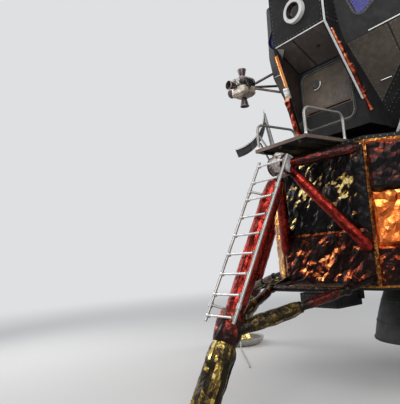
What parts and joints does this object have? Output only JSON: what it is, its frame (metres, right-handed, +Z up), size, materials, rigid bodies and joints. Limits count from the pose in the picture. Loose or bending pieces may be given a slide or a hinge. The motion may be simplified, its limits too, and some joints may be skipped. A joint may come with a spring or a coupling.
{
  "type": "two-stage lunar module",
  "caption": "Two-stage lunar lander on four strutted legs, with a crew cabin, a porch and ladder, thruster clusters, steerable dishes and a gimballed descent engine.",
  "frame": {"origin": "on the ground under the centre line of the craft, at the level of the four footpads' soles", "axes": "+Z up; -Y forward, where the hatch, porch and ladder are; +X to the crew's left"},
  "size_m": [9.424, 9.424, 6.9861],
  "materials": {
    "gold_foil": "crinkled amber-gold film over insulation",
    "black_shield": "matt black-painted metal sheet",
    "silver_skin": "grey-brown anodised sheet",
    "bare_metal": "machined metal",
    "red_foil": "crinkled red-orange film",
    "engine_metal": "dark matt high-temperature alloy",
    "pane": "clear glass with a faint blue-violet coating",
    "white_paint": "satin white paint",
    "dark_panel": "dark grey paint"
  },
  "bodies": {
    "vehicle": {"descent_structure": "gold_foil", "base_heat_shield": "black_shield", "descent_deck": "black_shield", "outrigger_front": "red_foil", "outrigger_left": "red_foil", "outrigger_rear": "red_foil", "outrigger_right": "red_foil", "primary_strut_front": "gold_foil", "primary_strut_left": "gold_foil", "primary_strut_rear": "gold_foil", "primary_strut_right": "gold_foil", "secondary_struts_front": "gold_foil", "secondary_struts_left": "gold_foil", "secondary_struts_rear": "gold_foil", "secondary_struts_right": "gold_foil", "footpad_front": "gold_foil", "footpad_left": "gold_foil", "footpad_rear": "gold_foil", "footpad_right": "gold_foil", "deployment_trusses": "red_foil", "contact_probes": "bare_metal", "ladder_rails": "silver_skin", "ladder_rungs": "bare_metal", "porch": "silver_skin", "porch_handrails": "bare_metal", "radar_hangers": "bare_metal", "plume_deflectors": "silver_skin", "interstage_fittings": "bare_metal", "front_face": "silver_skin", "cabin_shell": "black_shield", "windows": "pane", "instrument_panel": "dark_panel", "midsection": "silver_skin", "ascent_engine": "white_paint", "docking_tunnel": "silver_skin", "docking_drogue": "bare_metal", "tank_bay_left": "silver_skin", "tank_bay_right": "black_shield", "aft_bay": "silver_skin", "rcs_quad_front_left": "silver_skin", "rcs_quad_rear_left": "silver_skin", "rcs_quad_rear_right": "silver_skin", "rcs_quad_front_right": "silver_skin", "radar_pedestal": "white_paint", "s_band_mast": "white_paint", "small_antennas": "white_paint", "tracking_light": "white_paint"},
    "forward_hatch": {"forward_hatch": "silver_skin"},
    "overhead_hatch": {"overhead_hatch": "silver_skin"},
    "gimbal_ring": {"gimbal_ring": "bare_metal"},
    "descent_engine": {"descent_engine": "engine_metal"},
    "landing_radar": {"landing_radar": "black_shield"},
    "stowage_pallet": {"stowage_pallet": "gold_foil"},
    "radar_shaft": {"radar_shaft": "white_paint"},
    "radar_dish": {"radar_dish": "white_paint"},
    "s_band_yoke": {"s_band_yoke": "white_paint"},
    "s_band_dish": {"s_band_dish": "gold_foil"}
  },
  "joints": [
    {"name": "forward_hatch_hinge", "type": "hinge", "parent": "vehicle", "child": "forward_hatch", "pos_m": [-0.4145, -1.689, 3.9265], "axis": [0, 0, 1], "range_deg": [0, 80]},
    {"name": "overhead_hatch_hinge", "type": "hinge", "parent": "vehicle", "child": "overhead_hatch", "pos_m": [0, 0.414, 5.536], "axis": [1, 0, 0], "range_deg": [0, 85]},
    {"name": "engine_gimbal_pitch", "type": "hinge", "parent": "vehicle", "child": "gimbal_ring", "pos_m": [0, 0, 2.06], "axis": [1, 0, 0], "range_deg": [-6, 6]},
    {"name": "engine_gimbal_roll", "type": "hinge", "parent": "gimbal_ring", "child": "descent_engine", "pos_m": [0, 0, 2.06], "axis": [0, 1, 0], "range_deg": [-6, 6]},
    {"name": "landing_radar_tilt", "type": "hinge", "parent": "vehicle", "child": "landing_radar", "pos_m": [-0.64, -1.11, 1.27], "axis": [1, 0, 0], "range_deg": [0, 24]},
    {"name": "stowage_pallet_hinge", "type": "hinge", "parent": "vehicle", "child": "stowage_pallet", "pos_m": [1.4069, -1.4069, 1.686], "axis": [0.7071, 0.7071, 0], "range_deg": [0, 100]},
    {"name": "radar_shaft_turn", "type": "hinge", "parent": "vehicle", "child": "radar_shaft", "pos_m": [0, -1.42, 6.21], "axis": [1, 0, 0], "range_deg": [-85, 65]},
    {"name": "radar_trunnion_turn", "type": "hinge", "parent": "radar_shaft", "child": "radar_dish", "pos_m": [0, -1.5183, 6.27883], "axis": [0, 0.5736, 0.8192], "range_deg": [-55, 55]},
    {"name": "s_band_azimuth", "type": "hinge", "parent": "vehicle", "child": "s_band_yoke", "pos_m": [-0.82, -1.01, 6.622], "axis": [0, 0, 1], "range_deg": [-85, 85]},
    {"name": "s_band_elevation", "type": "hinge", "parent": "s_band_yoke", "child": "s_band_dish", "pos_m": [-0.82, -1.01, 6.622], "axis": [1, 0, 0], "range_deg": [-60, 40]}
  ]
}
